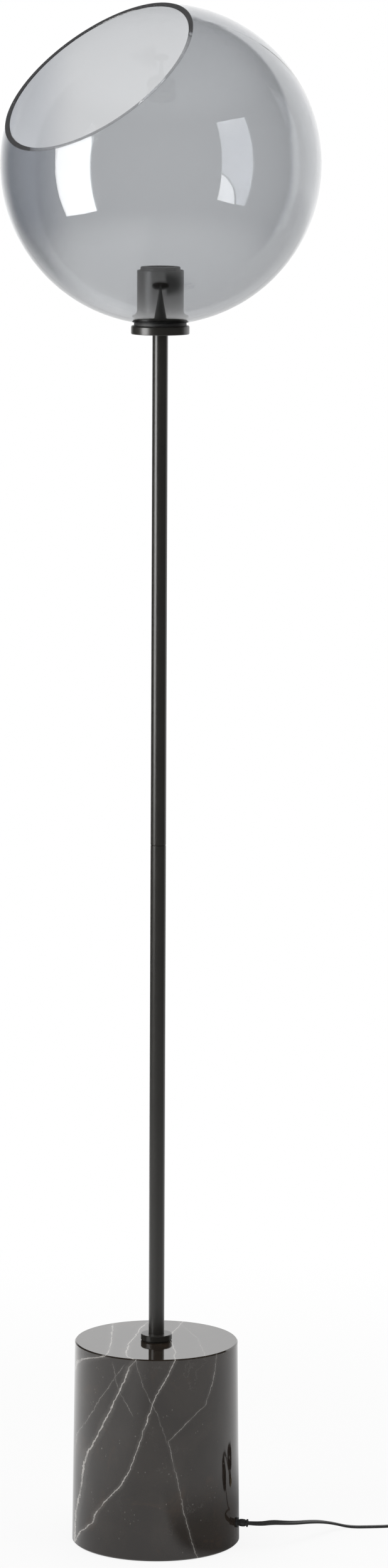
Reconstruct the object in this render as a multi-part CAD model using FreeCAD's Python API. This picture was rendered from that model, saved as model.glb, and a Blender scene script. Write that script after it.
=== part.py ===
import FreeCAD, Part
import math
import os

from FreeCAD import Placement, Rotation, Vector

# Globe floor lamp. Millimetres, +Z up, origin on the floor under the middle of the marble base.
# The camera side is -Y and the cord leaves towards +X.

# Marble base
marble_h = 207.0
marble_top_d = 168.0
marble_foot_d = 172.8
marble_bevel = 1.2
recess_d = 76.0
recess_depth = 60.0
tie_bore_d = 12.0
pad_t = 2.0
pad_proud = 0.6
pad_rim = 4.0

# Threaded tubes that hold the lamp together, and what is screwed on them
thread_d = 10.0
thread_bore_d = 7.6
retaining_plate_d = 64.0
retaining_plate_t = 3.0
lock_washer_d = 17.0
lock_washer_t = 2.0
lock_washer_split = 1.6
base_nut_flats = 15.0
base_nut_h = 8.0
thread_past_nut = 2.0
insert_l = 14.0
thread_short = 1.5

# Collar and stem
collar_d = 32.0
collar_h = 6.2
collar_socket_depth = 3.0
collar_bevel = 0.6
collar_gasket_d = 29.0
collar_gasket_t = 0.7
stem_d = 16.0
stem_wall = 1.5
stem_end_bevel = 0.5
lower_stem_l = 510.5
upper_stem_l = 529.6

# Flange, glass globe and its gaskets
flange_d = 60.0
flange_t = 8.9
flange_round = 1.8
flange_socket_depth = 3.0
globe_d = 330.0
glass_t = 4.0
glass_hole_d = 22.0
mouth_distance = 121.3
mouth_tilt = 42.0
mouth_azimuth = 218.5
mouth_bevel = 0.5
gasket_d = 54.0
gasket_least_t = 0.5
gasket_rim_t = 0.8

# Socket cup and its clamp
cup_d = 48.0
cup_wall = 1.2
cup_h = 49.1
cup_floor_t = 2.2
cup_foot_d = 58.0
cup_foot_edge = 1.2
cup_foot_h = 9.3
cup_washer_d = 22.0
cup_washer_t = 1.5
cup_nut_flats = 14.0
cup_nut_h = 5.0

# Lampholder for a medium screw base
holder_d = 41.0
holder_cap_h = 16.0
holder_cap_step = 7.0
holder_wall = 1.6
holder_cap_floor_t = 3.0
holder_neck_d = 16.0
holder_neck_h = 8.0
holder_cap_round = 3.0
insert_flange_t = 2.0
insert_plug_h = 4.0
insert_floor_t = 4.0
insert_wall = 2.3
insert_h = 23.2
skirt_over_insert = 4.9
skirt_lip_t = 3.0
skirt_lip_bore_d = 29.0
shell_bore_d = 26.6
shell_wall = 0.4
shell_h = 15.2
shell_ledge_w = 1.0
contact_well = 5.4
contact_w = 6.0
contact_t = 0.6
contact_l = 12.0
contact_rise = 5.0
contact_rivet_d = 3.0
terminal_apart = 22.0
terminal_l = 8.0
terminal_w = 6.0
terminal_t = 1.0
terminal_screw_d = 3.0
terminal_screw_l = 5.0
terminal_head_d = 5.6
terminal_head_t = 2.0
conductor_d = 1.0
cord_past_thread = 2.0

# Flat twin cord: its width, and its thickness where it runs inside the lamp
cord_w = 5.4
cord_t = 2.7
inner_bend_r = 20.0
cord_hole_z = 23.5
cord_azimuth = -15.0

# Moulded strain relief in the marble
relief_hole_d = 8.8
relief_inside_l = 20.0
relief_root_d = 10.4
relief_root_t = 1.6
relief_d = 7.8
relief_round = 1.5
relief_neck_d = 6.2
relief_end_d = 8.0
relief_end_t = 1.0
relief_neck_l = 1.4
relief_out_l = 11.8

# In-line foot switch, laid along X on the floor to the right of the base
switch_x = 329.0
switch_y = 45.0
case_l = 78.0
case_w = 34.0
case_h = 20.0
case_wall = 2.0
case_part_z = 7.0
case_top_round = 4.5
case_foot_round = 1.0
neck_l = 5.0
neck_w = 11.0
neck_h = 9.0
cord_inside_case = 4.0
button_d = 22.0
button_proud = 2.6
button_round = 1.0
button_crown = 0.5
button_flange_d = 25.2
button_flange_t = 1.4
button_stem_d = 6.0
button_stem_l = 7.0
button_gap = 0.3
spring_seat_z = 8.3
spring_seat_wall = 2.8
spring_wire_d = 0.8
spring_turns = 4
case_screw_apart = 58.0
case_screw_d = 2.2
case_screw_l = 12.0
case_head_d = 4.4
case_head_t = 1.4
case_post_d = 6.0
contact_blade = (9.0, 5.0, 0.8)
contact_blade_y = 9.0
contact_blade_x = 14.0

# Coil of put-away cord, its tie, and the plug
coil_x = 355.0
coil_y = 158.0
coil_inner_r = 23.0
coil_turns = 3
coil_gap = 0.6
coil_start_azimuth = -90.0
tie_w = 9.0
tie_t = 0.8
tie_gap = 0.2
tie_azimuth = 60.0
plug_x = 305.0
plug_y = 112.0
plug_w = 24.0
plug_h = 14.0
plug_l = 34.0
plug_neck_w = 11.0
plug_neck_h = 9.0
plug_neck_l = 8.0
plug_shoulder_l = 7.0
plug_corner = 3.0
plug_draft = 0.94
plug_neck_draft = 0.9
blade_apart = 12.7
blade_l = 17.5
blade_held_l = 10.0
blade_t = 1.5
blade_widths = (6.35, 7.9)
blade_hole_d = 3.2
blade_hole_from_tip = 9.0

# Clearances
fit_gap = 0.1
thread_gap = 0.05
glass_gap = 0.05
turn_gap = 0.3
cord_gap = 0.15

# Heights, worked out from the floor upwards
marble_bottom = pad_proud
marble_top = marble_bottom + marble_h
recess_roof = marble_bottom + recess_depth
plate_bottom = recess_roof - retaining_plate_t
base_nut_top = plate_bottom - lock_washer_t
base_nut_bottom = base_nut_top - base_nut_h
tie_bottom = base_nut_bottom - thread_past_nut
collar_bottom = marble_top + collar_gasket_t
collar_top = collar_bottom + collar_h
stem_foot = collar_top - collar_socket_depth
stem_joint = stem_foot + lower_stem_l
stem_head = stem_joint + upper_stem_l
flange_bottom = stem_head - flange_socket_depth
flange_top = flange_bottom + flange_t
globe_r = globe_d / 2
globe_z = flange_top + gasket_least_t + globe_r
glass_inner_r = globe_r - glass_t


def sphere_height(sphere_r, radius):
    """Height of the lower half of a sphere about the globe's middle, at a radius from the stem's axis."""
    return globe_z - math.sqrt(sphere_r**2 - radius**2)


cup_bottom = sphere_height(glass_inner_r, gasket_d / 2) + gasket_rim_t
cup_rim = cup_bottom + cup_h
cup_floor_top = cup_bottom + cup_floor_t
cup_nut_bottom = cup_floor_top + cup_washer_t
holder_bottom = cup_nut_bottom + cup_nut_h
cap_top = holder_bottom + holder_cap_h
insert_floor_top = cap_top + insert_floor_t
shell_bottom = insert_floor_top + contact_well
insert_top = cap_top + insert_h
skirt_bottom = cap_top - holder_cap_step
skirt_top = insert_top + skirt_over_insert
thread_top = holder_bottom + holder_neck_h - thread_short
inner_cord_top = thread_top + cord_past_thread
terminal_bottom = cap_top - insert_plug_h - terminal_t

# Radii shared by pieces that fit each other
stem_bore_r = stem_d / 2 - stem_wall
cap_rim_r = holder_d / 2 - holder_wall
cap_bore_r = cap_rim_r - holder_wall
shell_outer_r = shell_bore_d / 2 + shell_wall
insert_bore_r = shell_outer_r + fit_gap
insert_tower_r = insert_bore_r + insert_wall
coil_pitch = cord_w + coil_gap
coil_outer_r = coil_inner_r + coil_turns * coil_pitch
cord_floor_z = cord_w / 2 + 0.05
coil_floor_z = cord_w / 2 + tie_t + tie_gap


# Basic forms
def turned(*steps):
    """Solid turned about Z. A step is a (radius, height) corner, or an arc's middle and end corners."""
    edges = []
    here = Vector(steps[0][0], 0, steps[0][1])
    for step in steps[1:] + (steps[0],):
        if isinstance(step[0], tuple):
            middle, end = (Vector(r, 0, z) for r, z in step)
            edges.append(Part.Arc(here, middle, end).toShape())
        else:
            end = Vector(step[0], 0, step[1])
            if end.isEqual(here, 1e-9):
                continue
            edges.append(Part.LineSegment(here, end).toShape())
        here = end
    face = Part.Face(Part.Wire(edges))
    return face.revolve(Vector(0, 0, 0), Vector(0, 0, 1), 360)


def ring(outer_d, inner_d, low, high):
    return turned((inner_d / 2, low), (outer_d / 2, low), (outer_d / 2, high), (inner_d / 2, high))


def rod(diameter, low, high, x=0.0, y=0.0):
    return Part.makeCylinder(diameter / 2, high - low, Vector(x, y, low))


def block(x_size, y_size, low, high, x=0.0, y=0.0):
    """Block about a point of the plan, between two heights."""
    corner = Vector(x - x_size / 2, y - y_size / 2, low)
    return Part.makeBox(x_size, y_size, high - low, corner)


def pill(length, width, low, high):
    """Upright block with half-round ends, its length along X."""
    reach = (length - width) / 2
    ends = [rod(width, low, high, side * reach) for side in (-1, 1)]
    return block(2 * reach, width, low, high).fuse(ends).removeSplitter()


def hexagon_nut(flats, bore_d, low, high):
    """Hexagon nut with its corners turned off at 30 degrees on both faces."""
    corner_r = flats / math.sqrt(3)
    corners = [Vector(corner_r * math.cos(a), corner_r * math.sin(a), low) for a in
               (math.radians(60 * i) for i in range(7))]
    prism = Part.Face(Part.makePolygon(corners)).extrude(Vector(0, 0, high - low))
    drop = (corner_r - flats / 2) * math.tan(math.radians(30))
    crown = turned((0, low), (flats / 2, low), (corner_r, low + drop), (corner_r, high - drop),
                   (flats / 2, high), (0, high))
    return prism.common(crown).cut(rod(bore_d, low - 1, high + 1))


def edges_at(shape, height, least_length=0.0):
    """Edges of a shape that lie flat at one height."""
    return [e for e in shape.Edges
            if abs(e.BoundBox.ZMin - height) < 1e-4 and abs(e.BoundBox.ZMax - height) < 1e-4
            and e.Length > least_length]


def group(solids):
    return Part.makeCompound(list(solids))


# Cords and wires
def turned_vector(azimuth, radius=1.0, z=0.0):
    a = math.radians(azimuth)
    return Vector(radius * math.cos(a), radius * math.sin(a), z)


def bent_path(points, name):
    """Straight runs joined by tangent arcs, each as large as its two runs allow."""
    edges, radii = [], []
    here = points[0]
    for before, corner, after in zip(points, points[1:], points[2:]):
        run_in, run_out = corner - before, after - corner
        reach = 0.45 * min(run_in.Length, run_out.Length)
        turn = run_in.getAngle(run_out)
        radius = reach / math.tan(turn / 2)
        run_in.normalize()
        run_out.normalize()
        inwards = run_out - run_in
        inwards.normalize()
        start = corner - run_in * reach
        end = corner + run_out * reach
        middle = corner + inwards * (radius / math.cos(turn / 2) - radius)
        edges.append(Part.LineSegment(here, start).toShape())
        edges.append(Part.Arc(start, middle, end).toShape())
        radii.append(radius)
        here = end
    edges.append(Part.LineSegment(here, points[-1]).toShape())
    path = Part.Wire(edges)
    print(f"{name}: {path.Length:.0f} mm, radii", " ".join(f"{r:.0f}" for r in radii))
    return path


def swept(path, section_area, profile, name):
    solid = path.makePipeShell([profile], True, False)
    print(f"{name}: volume is {solid.Volume / (section_area * path.Length):.4f} of section times length")
    return solid


def round_profile(diameter, place, direction):
    return Part.Wire(Part.makeCircle(diameter / 2, place, direction))


def cord_along(points, name, diameter=cord_w):
    path = bent_path(points, name)
    profile = round_profile(diameter, points[0], points[1] - points[0])
    return swept(path, math.pi * diameter**2 / 4, profile, name)


def half_arc(start, corner, end):
    """Arc from start to end whose tangents meet at the corner, which is as far from one as from the other."""
    chord_middle = (start + end) * 0.5
    rise = corner - chord_middle
    half_chord = (end - start).Length / 2
    reach = (corner - start).Length
    share = half_chord / (reach + half_chord)
    return Part.Arc(start, chord_middle + rise * share, end).toShape()


def biarc(p0, t0, p1, t1):
    """Two arcs that leave p0 along t0, arrive at p1 along t1, and meet smoothly."""
    across = p1 - p0
    both = t0 + t1
    lean = across.dot(both)
    spare = 2 * (1 - t0.dot(t1))
    reach = (math.sqrt(lean**2 + spare * across.dot(across)) - lean) / spare
    near, far = p0 + t0 * reach, p1 - t1 * reach
    meet = (near + far) * 0.5
    return [half_arc(p0, near, meet), half_arc(meet, far, p1)]


def wound_path(place, turns, lead=None):
    """Path along place(turn), sampled each quarter turn. A lead is the straight run at each of its ends."""
    step = 1e-4
    edges = []
    marks = [i / 4 for i in range(int(4 * turns) + 1)]
    points = [place(s) for s in marks]
    tangents = []
    for s in marks:
        along = place(min(s + step, turns)) - place(max(s - step, 0))
        along.normalize()
        tangents.append(along)
    if lead:
        heading = lead / lead.Length
        tangents[0] = heading
        tangents[-1] = heading
        edges.append(Part.LineSegment(points[0] - lead, points[0]).toShape())
    for i in range(len(points) - 1):
        edges += biarc(points[i], tangents[i], points[i + 1], tangents[i + 1])
    if lead:
        edges.append(Part.LineSegment(points[-1], points[-1] + lead).toShape())
    return Part.Wire(edges)


def least_self_gap(path, diameter):
    """Least clear distance between stretches of a winding that lie over two diameters apart along it."""
    count = int(path.Length / (diameter * 0.4))
    points = path.discretize(count)
    step = path.Length / (count - 1)
    skip = int(math.pi * diameter / step) + 2
    least = min((points[i] - points[j]).Length
                for i in range(count) for j in range(i + skip, count))
    return least - diameter


# Base
def floor_pad():
    return rod(marble_foot_d - 2 * pad_rim, 0, pad_t)


def marble_side_r(z):
    """Radius of the marble's side, which tapers a little from its foot to its top."""
    share = (z - marble_bottom) / marble_h
    return (marble_foot_d + (marble_top_d - marble_foot_d) * share) / 2


def relief_seat_r():
    """Radius at which the root of the strain relief meets the marble, taken at the root's lower edge."""
    return marble_side_r(cord_hole_z - relief_root_d / 2) + thread_gap


def marble_base():
    body = turned((0, marble_bottom),
                  (marble_foot_d / 2 - marble_bevel, marble_bottom),
                  (marble_foot_d / 2, marble_bottom + marble_bevel),
                  (marble_top_d / 2, marble_top - marble_bevel),
                  (marble_top_d / 2 - marble_bevel, marble_top),
                  (0, marble_top))
    pad_seat = rod(marble_foot_d - 2 * pad_rim + 2 * fit_gap, marble_bottom - 1, pad_t)
    recess = rod(recess_d, marble_bottom - 1, recess_roof)
    bore = rod(tie_bore_d, marble_bottom, marble_top + 1)
    middle = Vector(0, 0, cord_hole_z)
    outwards = turned_vector(cord_azimuth)
    cord_hole = Part.makeCylinder(relief_hole_d / 2, marble_foot_d / 2 + 1, middle, outwards)
    return body.cut([pad_seat, recess, bore, cord_hole])


def retaining_plate():
    return ring(retaining_plate_d, thread_d + 2 * fit_gap, plate_bottom, recess_roof)


def lock_washer():
    """Split spring washer, pressed flat."""
    whole = ring(lock_washer_d, thread_d + 2 * fit_gap, base_nut_top, plate_bottom)
    split = block(lock_washer_d, lock_washer_split, base_nut_top - 1, plate_bottom + 1, lock_washer_d / 2)
    return whole.cut(split)


def base_nut():
    return hexagon_nut(base_nut_flats, thread_d + 2 * thread_gap, base_nut_bottom, base_nut_top)


def threaded_tube(low, high):
    bevel = (thread_d - thread_bore_d) / 4
    return turned((thread_bore_d / 2, low), (thread_d / 2 - bevel, low), (thread_d / 2, low + bevel),
                  (thread_d / 2, high - bevel), (thread_d / 2 - bevel, high), (thread_bore_d / 2, high))


def tie_tube():
    return threaded_tube(tie_bottom, stem_foot + insert_l - thread_short)


def strain_relief():
    """Moulded sleeve: a shank in the marble, then a root disc, a ball and an end disc with necks between."""
    root = relief_seat_r()
    end = root + relief_out_l
    outer_neck_end = end - relief_end_t
    ball_end = outer_neck_end - relief_neck_l
    root_end = root + relief_root_t
    ball_start = root_end + relief_neck_l
    middle = (ball_start + ball_end) / 2
    neck_r = relief_neck_d / 2
    ball_r = relief_d / 2
    waist_r = ball_r - 0.1 * relief_round
    shoulder_r = waist_r - (waist_r - neck_r) * (1 - math.sqrt(0.5))
    shoulder = relief_round * (1 - math.sqrt(0.5))
    body = turned((0, root - relief_inside_l),
                  (relief_hole_d / 2 - fit_gap, root - relief_inside_l),
                  (relief_hole_d / 2 - fit_gap, root),
                  (relief_root_d / 2, root),
                  (relief_root_d / 2, root_end),
                  (neck_r, root_end),
                  (neck_r, ball_start),
                  ((shoulder_r, ball_start + shoulder), (waist_r, ball_start + relief_round)),
                  ((ball_r, middle), (waist_r, ball_end - relief_round)),
                  ((shoulder_r, ball_end - shoulder), (neck_r, ball_end)),
                  (neck_r, outer_neck_end),
                  (relief_end_d / 2, outer_neck_end),
                  (relief_end_d / 2, end),
                  (0, end))
    outwards = Rotation(Vector(0, 0, 1), turned_vector(cord_azimuth))
    body.Placement = Placement(Vector(0, 0, cord_hole_z), outwards)
    return body.cut(inner_cord(cord_gap, end + 1))


def flat_profile(width, thickness, place, along, flat):
    """Half-round-ended section of the twin cord: its width lies along flat, square to its path."""
    thin = along.cross(flat)
    reach = flat * ((width - thickness) / 2)
    side = thin * (thickness / 2)
    tip = flat * (width / 2)
    return Part.Wire([Part.LineSegment(place - reach + side, place + reach + side).toShape(),
                      Part.Arc(place + reach + side, place + tip, place + reach - side).toShape(),
                      Part.LineSegment(place + reach - side, place - reach - side).toShape(),
                      Part.Arc(place - reach - side, place - tip, place - reach + side).toShape()])


def inner_cord(grow=0.0, out_r=None):
    """Twin cord from the strain relief's end, through the recess and up the stem to the lampholder."""
    out_r = out_r or relief_seat_r() + relief_out_l
    out = turned_vector(cord_azimuth)
    start = out * out_r + Vector(0, 0, cord_hole_z)
    bend_start = out * inner_bend_r + Vector(0, 0, cord_hole_z)
    bend_end = Vector(0, 0, cord_hole_z + inner_bend_r)
    centre = out * inner_bend_r + bend_end
    middle = centre - (out + Vector(0, 0, 1)) * (inner_bend_r / math.sqrt(2))
    path = Part.Wire([Part.LineSegment(start, bend_start).toShape(),
                      Part.Arc(bend_start, middle, bend_end).toShape(),
                      Part.LineSegment(bend_end, Vector(0, 0, inner_cord_top)).toShape()])
    flat = Vector(0, 0, 1).cross(out)
    profile = flat_profile(cord_w + 2 * grow, cord_t + 2 * grow, start, out * -1, flat)
    return path.makePipeShell([profile], True, False)


# Collar and stem
def collar_gasket():
    return ring(collar_gasket_d, thread_d + 2 * fit_gap, marble_top, collar_bottom)


def base_collar():
    """Turned collar with bevelled edges and a socket for the stem's foot."""
    r = collar_d / 2
    return turned((thread_d / 2 + fit_gap, collar_bottom),
                  (r - collar_bevel, collar_bottom),
                  (r, collar_bottom + collar_bevel),
                  (r, collar_top - collar_bevel),
                  (r - collar_bevel, collar_top),
                  (stem_d / 2 + fit_gap, collar_top),
                  (stem_d / 2 + fit_gap, stem_foot),
                  (thread_d / 2 + fit_gap, stem_foot))


def stem_tube(low, high):
    r = stem_d / 2
    b = stem_end_bevel
    return turned((stem_bore_r, low), (r - b, low), (r, low + b),
                  (r, high - b), (r - b, high), (stem_bore_r, high))


def threaded_insert(low):
    return ring(2 * (stem_bore_r - thread_gap), thread_d + 2 * thread_gap, low, low + insert_l)


def stem_coupler():
    reach = insert_l - thread_short
    return threaded_tube(stem_joint - reach, stem_joint + reach)


# Globe and what clamps it
def globe_flange():
    """Turned disc with a socket for the stem's head below and a rounded upper edge."""
    r = flange_d / 2
    f = flange_round
    c = f * (1 - math.sqrt(0.5))
    h = f / 3
    return turned((stem_d / 2 + fit_gap, flange_bottom),
                  (r - h, flange_bottom),
                  (r, flange_bottom + h),
                  (r, flange_top - f),
                  ((r - c, flange_top - c), (r - f, flange_top)),
                  (thread_d / 2 + fit_gap, flange_top),
                  (thread_d / 2 + fit_gap, stem_head),
                  (stem_d / 2 + fit_gap, stem_head))


def flange_nipple():
    return threaded_tube(stem_head - insert_l + thread_short, thread_top)


def mouth_direction():
    level = turned_vector(mouth_azimuth, math.sin(math.radians(mouth_tilt)))
    return level + Vector(0, 0, math.cos(math.radians(mouth_tilt)))


def glass_globe():
    """Blown sphere with a drilled hole at its foot and a mouth that is ground flat across a tilted plane."""
    outer_rim_r = math.sqrt(globe_r**2 - (mouth_distance - mouth_bevel)**2)
    inner_rim_r = math.sqrt(glass_inner_r**2 - (mouth_distance - mouth_bevel)**2)
    glass = turned((0, -globe_r),
                   ((globe_r, 0), (outer_rim_r, mouth_distance - mouth_bevel)),
                   (outer_rim_r - mouth_bevel, mouth_distance),
                   (inner_rim_r + mouth_bevel, mouth_distance),
                   (inner_rim_r, mouth_distance - mouth_bevel),
                   ((glass_inner_r, 0), (0, -glass_inner_r)))
    glass.Placement = Placement(Vector(0, 0, globe_z), Rotation(Vector(0, 0, 1), mouth_direction()))
    return glass.cut(rod(glass_hole_d, globe_z - globe_r - 1, globe_z))


def lower_gasket():
    """Silicone ring, dished to the globe, with a collar that centres the glass hole."""
    seat_r = globe_r + glass_gap
    edge_r = gasket_d / 2
    collar_r = glass_hole_d / 2 - fit_gap
    bore_r = thread_d / 2 + turn_gap
    middle_r = (collar_r + edge_r) / 2
    collar_h_top = sphere_height(glass_inner_r, collar_r) - fit_gap
    return turned((bore_r, flange_top),
                  (edge_r, flange_top),
                  (edge_r, sphere_height(seat_r, edge_r)),
                  ((middle_r, sphere_height(seat_r, middle_r)), (collar_r, sphere_height(seat_r, collar_r))),
                  (collar_r, collar_h_top),
                  (bore_r, collar_h_top))


def upper_gasket():
    """Silicone ring between the glass and the cup's foot."""
    seat_r = glass_inner_r - glass_gap
    edge_r = gasket_d / 2
    bore_r = thread_d / 2 + turn_gap
    hub_r = glass_hole_d / 2
    middle_r = (hub_r + edge_r) / 2
    return turned((bore_r, sphere_height(seat_r, hub_r)),
                  (hub_r, sphere_height(seat_r, hub_r)),
                  ((middle_r, sphere_height(seat_r, middle_r)), (edge_r, sphere_height(seat_r, edge_r))),
                  (edge_r, cup_bottom),
                  (bore_r, cup_bottom))


def socket_cup():
    """Spun cup whose foot flares out over the upper gasket."""
    r = cup_d / 2
    inside = r - cup_wall
    foot = cup_foot_d / 2
    edge_top = cup_bottom + cup_foot_edge
    flare_top = cup_bottom + cup_foot_h
    flare_r, flare_h = foot - r, flare_top - edge_top
    k = 1 - math.sqrt(0.5)
    inner_round = cup_floor_t
    return turned((thread_d / 2 + fit_gap, cup_bottom),
                  (foot, cup_bottom),
                  (foot, edge_top),
                  ((r + flare_r * k, edge_top + flare_h * k), (r, flare_top)),
                  (r, cup_rim - cup_wall / 2),
                  ((r - cup_wall / 2, cup_rim), (inside, cup_rim - cup_wall / 2)),
                  (inside, cup_floor_top + inner_round),
                  ((inside - inner_round * k, cup_floor_top + inner_round * k),
                   (inside - inner_round, cup_floor_top)),
                  (thread_d / 2 + fit_gap, cup_floor_top))


def cup_washer():
    return ring(cup_washer_d, thread_d + 2 * fit_gap, cup_floor_top, cup_nut_bottom)


def cup_nut():
    return hexagon_nut(cup_nut_flats, thread_d + 2 * thread_gap, cup_nut_bottom, holder_bottom)


# Lampholder
def terminal_places():
    return [-terminal_apart / 2, terminal_apart / 2]


def holder_cap():
    """Lower half of the lampholder, screwed on the threaded tube by its neck."""
    r = holder_d / 2
    c = holder_cap_round
    k = 1 - math.sqrt(0.5)
    bore = thread_d / 2 + thread_gap
    floor_top = holder_bottom + holder_cap_floor_t
    neck_top = holder_bottom + holder_neck_h
    return turned((bore, holder_bottom),
                  (r - c, holder_bottom),
                  ((r - c * k, holder_bottom + c * k), (r, holder_bottom + c)),
                  (r, skirt_bottom),
                  (cap_rim_r, skirt_bottom),
                  (cap_rim_r, cap_top),
                  (cap_bore_r, cap_top),
                  (cap_bore_r, floor_top),
                  (holder_neck_d / 2, floor_top),
                  (holder_neck_d / 2, neck_top),
                  (bore, neck_top))


def holder_insert():
    """Insulating core: a plug in the cap, a flange on its rim, a tower with a ledge for the screw shell."""
    well_r = shell_bore_d / 2 - shell_ledge_w
    flange_r = cap_rim_r - fit_gap
    plug_r = cap_bore_r - fit_gap
    body = turned((0, cap_top - insert_plug_h),
                  (plug_r, cap_top - insert_plug_h),
                  (plug_r, cap_top),
                  (flange_r, cap_top),
                  (flange_r, cap_top + insert_flange_t),
                  (insert_tower_r, cap_top + insert_flange_t),
                  (insert_tower_r, insert_top),
                  (insert_bore_r, insert_top),
                  (insert_bore_r, shell_bottom),
                  (well_r, shell_bottom),
                  (well_r, insert_floor_top),
                  (0, insert_floor_top))
    low = cap_top - insert_plug_h
    rivet_hole = rod(contact_rivet_d + 2 * fit_gap, low - 1, insert_floor_top + 1, -contact_l / 2)
    hole_d = terminal_screw_d + 2 * fit_gap
    screw_holes = [rod(hole_d, low - 1, low + terminal_screw_l, x) for x in terminal_places()]
    return body.cut([rivet_hole] + screw_holes)


def holder_skirt():
    """Outer ring of the lampholder, screwed over the cap's rim, with a rounded lip round the mouth."""
    r = holder_d / 2
    lip = skirt_lip_bore_d / 2
    over_cap = cap_rim_r + fit_gap
    tower = insert_tower_r + fit_gap
    shoulder = cap_top + insert_flange_t
    edge = (r - lip) / 4
    k = edge * (1 - math.sqrt(0.5))
    return turned((over_cap, skirt_bottom),
                  (r, skirt_bottom),
                  (r, skirt_top - edge),
                  ((r - k, skirt_top - k), (r - edge, skirt_top)),
                  (lip + edge, skirt_top),
                  ((lip + k, skirt_top - k), (lip, skirt_top - edge)),
                  (lip, skirt_top - skirt_lip_t),
                  (tower, skirt_top - skirt_lip_t),
                  (tower, shoulder),
                  (over_cap, shoulder))


def screw_shell():
    """Brass shell that the lamp screws into, on the insert's ledge, with a rolled lip at its mouth."""
    low, high = shell_bottom, shell_bottom + shell_h
    bore = shell_bore_d / 2
    lip = shell_wall
    return turned((bore, low), (shell_outer_r, low), (shell_outer_r, high), (bore + lip / 2, high),
                  (bore, high - lip))


def centre_contact():
    """Brass leaf: riveted flat beside the middle, then bent up and over to press on the lamp's tip."""
    x0 = -contact_l / 2 - contact_w / 2
    floor = insert_floor_top
    t = contact_t
    top = floor + contact_rise
    outline = [(x0, floor), (-contact_w / 2, floor), (contact_w / 4, top - t), (contact_w, top - 2 * t),
               (contact_w, top - t), (contact_w / 4 - t / 2, top), (-contact_w / 2 - t / 2, floor + t),
               (x0, floor + t)]
    corners = [Vector(x, -contact_w / 2, z) for x, z in outline]
    leaf = Part.Face(Part.makePolygon(corners + corners[:1])).extrude(Vector(0, contact_w, 0))
    rivet = rod(contact_rivet_d, cap_top - insert_plug_h, floor, -contact_l / 2)
    return leaf.fuse(rivet).removeSplitter()


def terminal_plates():
    top = terminal_bottom + terminal_t
    hole_d = terminal_screw_d + 2 * fit_gap
    plates = []
    for x in terminal_places():
        plate = block(terminal_l, terminal_w, terminal_bottom, top, x)
        plates.append(plate.cut(rod(hole_d, terminal_bottom, top, x)))
    return group(plates)


def terminal_screws():
    head_bottom = terminal_bottom - terminal_head_t
    slot_h = terminal_head_t / 3
    screws = []
    for x in terminal_places():
        screw = rod(terminal_head_d, head_bottom, terminal_bottom, x)
        screw = screw.fuse(rod(terminal_screw_d, terminal_bottom, terminal_bottom + terminal_screw_l, x))
        screws.append(screw.cut(block(terminal_head_d + 1, slot_h, head_bottom - 1, head_bottom + slot_h, x)))
    return group(screws)


def conductors():
    """Two copper ends, bent from the cord outwards to the terminal screws."""
    wires = []
    level = terminal_bottom - conductor_d
    for side in (-1, 1):
        leave = side * cord_w / 4
        touch = side * (terminal_apart / 2 - terminal_head_d / 2 - fit_gap)
        points = [Vector(leave, 0, inner_cord_top),
                  Vector(leave, 0, level),
                  Vector(touch, 0, level)]
        wires.append(cord_along(points, "conductor", conductor_d))
    return group(wires)


# Foot switch, modelled along X about its own middle and then moved into place
def switch_place(shape):
    shape.Placement = Placement(Vector(switch_x, switch_y, 0), Rotation())
    return shape


def case_neck(low, high):
    return block(case_l + 2 * neck_l, neck_w, low, high)


def cord_bore():
    reach = case_l / 2 + neck_l + 1
    start = Vector(-reach, 0, case_part_z)
    return Part.makeCylinder(cord_w / 2 + cord_gap, 2 * reach, start, Vector(1, 0, 0))


def screw_places():
    return [-case_screw_apart / 2, case_screw_apart / 2]


def switch_lower_case():
    """Floor half of the switch: a tray with a spring seat, screw holes and half of each cord neck."""
    tray = pill(case_l, case_w, 0, case_part_z)
    tray = tray.fuse(case_neck(case_part_z - neck_h / 2, case_part_z))
    tray = tray.makeFillet(case_foot_round, edges_at(tray, 0))
    inside = pill(case_l - 2 * case_wall, case_w - 2 * case_wall, case_wall, case_part_z + 1)
    seat_bore_d = button_stem_d + 2 * button_gap
    seat = ring(seat_bore_d + 2 * spring_seat_wall, seat_bore_d, case_wall, spring_seat_z)
    tray = tray.cut(inside).fuse(seat)
    posts = [rod(case_post_d, case_wall, case_part_z, x) for x in screw_places()]
    holes = [rod(case_screw_d + 2 * fit_gap, -1, case_part_z + 1, x) for x in screw_places()]
    heads = [rod(case_head_d + 2 * fit_gap, -1, case_head_t + fit_gap, x) for x in screw_places()]
    return switch_place(tray.fuse(posts).cut(cord_bore()).cut(holes + heads))


def switch_upper_case():
    """Domed half of the switch with the button's hole, screw posts and the other half of each neck."""
    dome = pill(case_l, case_w, case_part_z, case_h)
    dome = dome.makeFillet(case_top_round, edges_at(dome, case_h))
    dome = dome.fuse(case_neck(case_part_z, case_part_z + neck_h / 2))
    roof = case_h - case_wall
    inside = pill(case_l - 2 * case_wall, case_w - 2 * case_wall, case_part_z - 1, roof)
    inside = inside.makeFillet(case_top_round - case_wall, edges_at(inside, roof))
    hole = rod(button_d + 2 * button_gap, case_part_z, case_h + 1)
    posts = [rod(case_post_d, case_part_z, roof, x) for x in screw_places()]
    pilots = [rod(case_screw_d, case_part_z - 1, case_part_z + case_screw_l, x) for x in screw_places()]
    return switch_place(dome.cut(inside).fuse(posts).cut([hole, cord_bore()] + pilots))


def button_flange_top():
    return case_h - case_wall - fit_gap


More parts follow.
